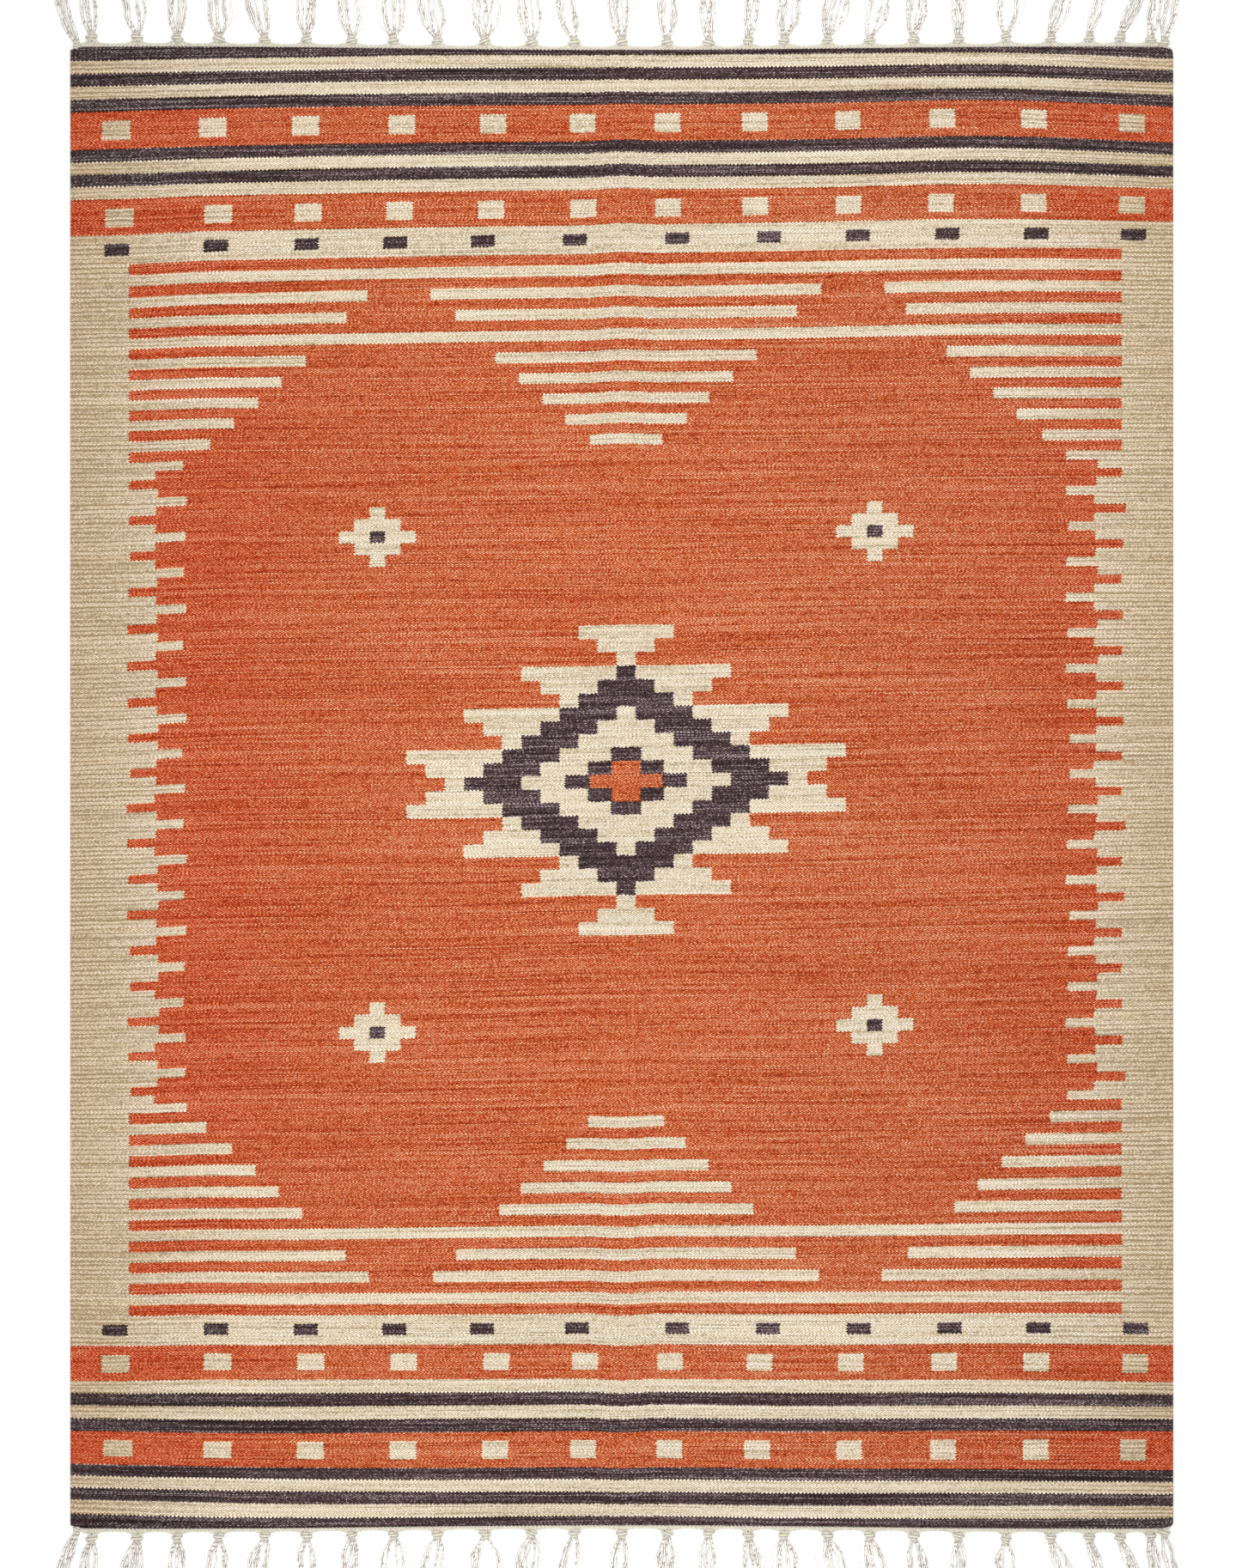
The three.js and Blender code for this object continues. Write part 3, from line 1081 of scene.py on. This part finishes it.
def addWrap(parts, x0, distance, size, end, rng):
    # One turn of a knot: a low bun with the bundle's yarns wound slantwise round it
    around, rows = fringe["knotSteps"]
    width, length, height = size
    slant = rng.uniform(*fringe["ridgeSlant"]) * rng.choice((-1, 1))
    tilt = rng.uniform(-fringe["knotTilt"], fringe["knotTilt"])
    pole = fringe["knotPole"]
    rings, yarn = [], []
    for k in range(rows + 1):
        up = math.pi * (k + pole) / (rows + 2 * pole)
        ring, places = [], []
        for i in range(around):
            turn = 2 * math.pi * i / around
            across = math.sin(up) * math.cos(turn)
            along = math.sin(up) * math.sin(turn)
            ridge = math.cos(fringe["ridges"] * (along * fringe["ridgeSpread"] + slant * across))
            swell = 1 + fringe["ridgeHeight"] * ridge
            px, py = width / 2 * across * swell, length / 2 * along * swell
            x = x0 + px * math.cos(tilt) - py * math.sin(tilt)
            y = end * (endEdge(x0) + distance + px * math.sin(tilt) + py * math.cos(tilt))
            z = height * (0.5 - 0.5 * math.cos(up) * swell)
            ring.append((x, y, max(fringe["knotLowest"], z)))
            # A quarter turn is the light side of the yarn, and half a turn its shadow, in the grooves
            yarnTurn = 0.25 + 0.25 * min(1.0, fringe["ridgeTop"] - ridge)
            places.append((yarnTurn, fringe["ridgeYarn"] * across, x0))
        rings.append(ring)
        yarn.append(places)
    parts.addRings(rings, yarn)


def addKnot(parts, tassel, end, rng):
    x0, lean, _, distance = tassel
    isCorner = distance < fringe["stripDepth"]
    size = rng.uniform(*fringe["knotWidths"]) * (fringe["cornerKnot"] if isCorner else 1.0)
    lowerLength = fringe["wrapLength"] * rng.uniform(*fringe["knotLengths"])
    upperLength = fringe["topLength"] * rng.uniform(*fringe["knotLengths"])
    addWrap(parts, x0, distance, (fringe["wrapWidth"] * size, lowerLength, fringe["wrapHeight"]), end, rng)
    x = x0 + (fringe["topLean"] * lean + rng.uniform(-fringe["topShift"], fringe["topShift"]))
    upper = (fringe["topWidth"] * size, upperLength, fringe["topHeight"])
    addWrap(parts, x, distance + fringe["topRise"], upper, end, rng)


def gatherDepth(x):
    # How far the strip of gathered yarns reaches from the cloth
    depth = fringe["stripDepth"]
    for x0, _, _, distance in tassels:
        rise = min(fringe["stripRise"], distance - fringe["stripDepth"])
        near = math.exp(-((x - x0) / fringe["stripReach"]) ** 2)
        depth = max(depth, fringe["stripDepth"] + rise * near)
    cornerShare, cornerReach = fringe["stripCorner"]
    return depth * mix(cornerShare, 1.0, smoothStep((cloth["halfWidth"] - abs(x)) / cornerReach))


def addGatheredYarns(parts, number, end, rng):
    # The warp ends of one tassel, drawn sideways along the edge and up into the knot
    x0, _, _, knotDistance = tassels[number]
    side = cloth["halfWidth"] - fringe["yarnInset"]
    left = -side if number == 0 else (tassels[number - 1][0] + x0) / 2
    right = side if number == len(tassels) - 1 else (tassels[number + 1][0] + x0) / 2
    count = max(2, round((right - left) / fringe["yarnPitch"]))
    ease, climbFrom = fringe["yarnEase"], fringe["yarnClimbFrom"]
    sidePower, knotPower = fringe["joinPowers"]
    for i in range(count):
        start = mix(left, right, (i + 0.5) / count) - x0
        target = fringe["joinWidth"] * start / max(1.0, abs(start)) * rng.uniform(*fringe["joinShares"])
        lay = rng.uniform(*fringe["yarnLay"])
        path = []
        for k in range(fringe["yarnSteps"] + 1):
            share = k / fringe["yarnSteps"]
            distance = mix(start, target, smoothStep(share) * ease + share * (1 - ease))
            joined = smoothStep(abs(start - distance) / fringe["joinReach"])
            outer = gatherDepth(x0 + distance) * lay - fringe["yarnShort"]
            depth = mix(fringe["yarnStart"], outer, max(joined, share ** sidePower))
            depth = mix(depth, knotDistance - fringe["joinDepth"], share ** knotPower)
            rest = fringe["yarnRest"] + rng.uniform(0, fringe["yarnRestUneven"])
            lift = mix(fringe["yarnLift"], rest, joined)
            climb = smoothStep((share - climbFrom) / (1 - climbFrom))
            z = mix(lift, fringe["wrapHeight"] * fringe["yarnClimb"], climb)
            path.append((x0 + distance, end * (endEdge(x0 + distance) + depth), z))
        parts.addTube(path, fringe["yarnWidth"], start)


def addEdgeRow(parts, end):
    # The last twined row: one small hump for each pair of warps
    half = cloth["halfWidth"] - fringe["humpInset"]
    halfWidth, halfLength = fringe["humpHalfSize"]
    count = round(2 * half / fringe["yarnPitch"])
    sides = fringe["humpSides"]
    turns = [2 * math.pi * k / sides for k in range(sides)]
    for i in range(count):
        x = mix(-half, half, (i + 0.5) / count)
        y = endEdge(x) + fringe["humpPlace"]
        rings, yarn = [], []
        for size, z in fringe["humpRings"]:
            across, along = halfWidth * size, halfLength * size
            rings.append([(x + across * math.cos(t), end * (y + along * math.sin(t)), z) for t in turns])
            yarn.append([(k / sides, z, i) for k in range(sides)])
        parts.addRings(rings, yarn)


def addStrip(parts, end):
    # A thin web of crossed yarns under the gathered ones, with the same scalloped edge
    half = cloth["halfWidth"] - fringe["stripInset"]
    count = round(2 * half / fringe["stripStep"])
    bottom, top = fringe["stripBottom"], fringe["stripThickness"]
    rings, yarn = [], []
    for i in range(count + 1):
        x = mix(-half, half, i / count)
        inner = end * (endEdge(x) - fringe["stripInner"])
        outer = end * (endEdge(x) + (gatherDepth(x) - fringe["stripShort"]))
        ring = [(x, inner, bottom), (x, outer, bottom), (x, outer, top), (x, inner, top)]
        rings.append(ring)
        yarn.append([(fringe["stripTurn"], x, 0.0)] * len(ring))
    parts.addRings(rings, yarn)


def buildFringe(name, end):
    parts = MeshParts()
    rng = random.Random(fringe["seed"] + end)
    addStrip(parts, end)
    addEdgeRow(parts, end)
    for number, tassel in enumerate(tassels):
        addGatheredYarns(parts, number, end, rng)
        addKnot(parts, tassel, end, rng)
        strands = [(side, fringe["strandWidth"]) for side in tasselSides(rng)]
        if rng.random() < fringe["hairShare"]:
            strands.append((rng.choice((-fringe["hairSide"], fringe["hairSide"])), fringe["hairWidth"]))
        for side, width in strands:
            path = strandPath(tassel, side, end, rng)
            width *= rng.uniform(*fringe["strandWidths"])
            parts.addTube(path, width, rng.uniform(*fringe["yarnNumbers"]), looseSlot)
    return makePiece(name, parts.points, parts.faces, parts.slots, "yarn", parts.yarn)


# Two-ply warp yarn, almost white and a little darker where it is knotted; painted shadows along its rounded
# sides, and on the loose strands small brown specks of painted shade in its ply grooves, most of them near
# the knots

looseYarn = {
    "name": "looseWarpYarn",
    "light": "#f2eee6",
    "dark": "#c2bbae",
    # edge is the colour of the painted shadow along the yarn's sides
    "edge": "#5f574c",
    "sideShadowShare": 1.0,
    # groove is the colour of the painted shade in the ply grooves
    "grooveShade": "#6d4f33",
    "grooveShadeShare": 1.0,
    "shadePatchFrom": 0.57,
    "shadePatchAtKnot": 0.14,
}
knottedYarn = {
    "name": "knottedWarpYarn",
    "light": "#d8d2c4",
    "dark": "#c0b9a9",
    # edge is the colour of the painted shadow along the yarn's sides and in the knots' grooves
    "edge": "#968f81",
    "sideShadowShare": 0.8,
    "grooveShade": "#968f81",
    "grooveShadeShare": 0.25,
    "shadePatchFrom": 0.45,
    "shadePatchAtKnot": 0.0,
}
warpYarn = {
    "roughness": 0.9,
    "specular": 0.2,
    "sheen": 0.1,
    "ior": 1.53,
    "plyPitch": 7.5,
    "patchLength": 12.0,
    "patchDetail": 2.0,
    "darkUpTo": 0.32,
    "lightFrom": 0.5,
    "sideShadowPower": 4.0,
    "groovePower": 5.0,
    "shadePatchReach": 22.0,
}


def pliedWarpYarn(yarn):
    # Dull and pale, with painted shade along its sides and, in patches, in fine slanting grooves between
    # its two plies
    material = emptyMaterial(yarn["name"])
    chart = addNode(material, "ShaderNodeAttribute", (), attribute_name="yarn")
    place = addNode(material, "ShaderNodeSeparateXYZ", (chart.outputs["Vector"],))
    around, along, number = place.outputs

    def thinLine(count, power):
        # 1 at every whole count, and almost at once down to 0 beside it
        angle = addNode(material, "ShaderNodeMath", (count, math.pi), operation="MULTIPLY")
        wave = addNode(material, "ShaderNodeMath", (angle,), operation="COSINE")
        height = addNode(material, "ShaderNodeMath", (wave,), operation="ABSOLUTE")
        return addNode(material, "ShaderNodeMath", (height, power), operation="POWER")

    patches = addNode(material, "ShaderNodeMath", (along, warpYarn["patchLength"]), operation="DIVIDE")
    patch = addNode(material, "ShaderNodeCombineXYZ", (patches, number))
    noise = addNode(material, "ShaderNodeTexNoise", {
        "Vector": patch, "Scale": 1.0, "Detail": warpYarn["patchDetail"],
    })
    stops = ((warpYarn["darkUpTo"], yarn["dark"]), (warpYarn["lightFrom"], yarn["light"]))
    patched = addNode(material, "ShaderNodeValToRGB", (noise,), stops=stops)

    # Painted shadow along both sides of the yarn
    sides = addNode(material, "ShaderNodeMath", (around, 2.0), operation="MULTIPLY")
    edge = thinLine(sides, warpYarn["sideShadowPower"])
    side = addNode(material, "ShaderNodeMath", (edge, yarn["sideShadowShare"]), operation="MULTIPLY")
    sideShadowed = addNode(material, "ShaderNodeMix", {
        0: side, 6: patched, 7: linearColour(yarn["edge"]),
    }, data_type="RGBA")

    # Painted shade in the ply grooves, in patches, more of them near the knots
    reach = (along, 0.0, warpYarn["shadePatchReach"], yarn["shadePatchAtKnot"], 0.0)
    nearKnot = addNode(material, "ShaderNodeMapRange", reach)
    shadePatch = addNode(material, "ShaderNodeMath", (noise, nearKnot), operation="ADD")
    inShadePatch = addNode(material, "ShaderNodeMath", (shadePatch, yarn["shadePatchFrom"]), operation="GREATER_THAN")
    wound = addNode(material, "ShaderNodeMath", (along, warpYarn["plyPitch"]), operation="DIVIDE")
    plies = addNode(material, "ShaderNodeMath", (sides, wound), operation="ADD")
    grooveShade = thinLine(plies, warpYarn["groovePower"])
    depth = addNode(material, "ShaderNodeMath", (grooveShade, yarn["grooveShadeShare"]), operation="MULTIPLY")
    grooveShadeMask = addNode(material, "ShaderNodeMath", (depth, inShadePatch), operation="MULTIPLY")
    grooveShaded = addNode(material, "ShaderNodeMix", {
        0: grooveShadeMask, 6: sideShadowed.outputs[2], 7: linearColour(yarn["grooveShade"]),
    }, data_type="RGBA")
    shader = addNode(material, "ShaderNodeBsdfPrincipled", {
        "Base Color": grooveShaded.outputs[2],
        "Roughness": warpYarn["roughness"], "Specular IOR Level": warpYarn["specular"],
        "IOR": warpYarn["ior"], "Sheen Weight": warpYarn["sheen"],
    })
    addNode(material, "ShaderNodeOutputMaterial", {"Surface": shader})
    return material


yarnMaterials = [pliedWarpYarn(looseYarn), pliedWarpYarn(knottedYarn)]
for pieceName, nodeName, end in (("headFringe", "head_fringe", 1), ("footFringe", "foot_fringe", -1)):
    piece = buildFringe(pieceName, end)
    for material in yarnMaterials:
        piece.data.materials.append(material)
    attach(piece, "root")
    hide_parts(nodeName)


# Studio: pale floor, soft light from above

studio = {
    "floorSize": 12.0,  # metres, as are the lights
    "floorDrop": 0.0002,  # keeps it clear of the rug's underside
    "floorColour": "#f4f3f1",
    "floorRoughness": 0.9,
    "keySize": (2.0, 4.4),
    "keyPlace": (0.05, 0.1, 1.0),
    "keyTurn": -4.5,  # degrees, seen from above
    "keyPower": 31.4,
    "skyColour": "#ffffff",
    "sky": 0.785,
}


def mattePaint():
    # Even and without gloss, so that the floor shows only the rug's soft shadow
    material = emptyMaterial("mattePaint")
    shader = addNode(material, "ShaderNodeBsdfPrincipled", {
        "Base Color": linearColour(studio["floorColour"]), "Roughness": studio["floorRoughness"],
    })
    addNode(material, "ShaderNodeOutputMaterial", {"Surface": shader})
    return material


def buildStudio():
    half = studio["floorSize"] / 2
    corners = [(-half, -half, 0), (half, -half, 0), (half, half, 0), (-half, half, 0)]
    mesh = bpy.data.meshes.new("floor")
    mesh.from_pydata(corners, [], [(0, 1, 2, 3)])
    mesh.materials.append(mattePaint())
    floor = bpy.data.objects.new("floor", mesh)
    floor.location.z = -studio["floorDrop"]
    scene.collection.objects.link(floor)

    light = bpy.data.lights.new("softbox", "AREA")
    light.shape = "RECTANGLE"
    light.size, light.size_y = studio["keySize"]
    light.energy = studio["keyPower"]
    lamp = bpy.data.objects.new("softbox", light)
    lamp.location = studio["keyPlace"]
    lamp.rotation_euler.z = math.radians(studio["keyTurn"])
    lamp.visible_camera = False
    scene.collection.objects.link(lamp)

    world = bpy.data.worlds.new("studioSky")
    world.use_nodes = True
    sky = world.node_tree.nodes["Background"]
    sky.inputs["Strength"].default_value = studio["sky"]
    sky.inputs["Color"].default_value = linearColour(studio["skyColour"])
    scene.world = world
    scene.view_settings.view_transform = "Standard"


buildStudio()
print("studio ready")
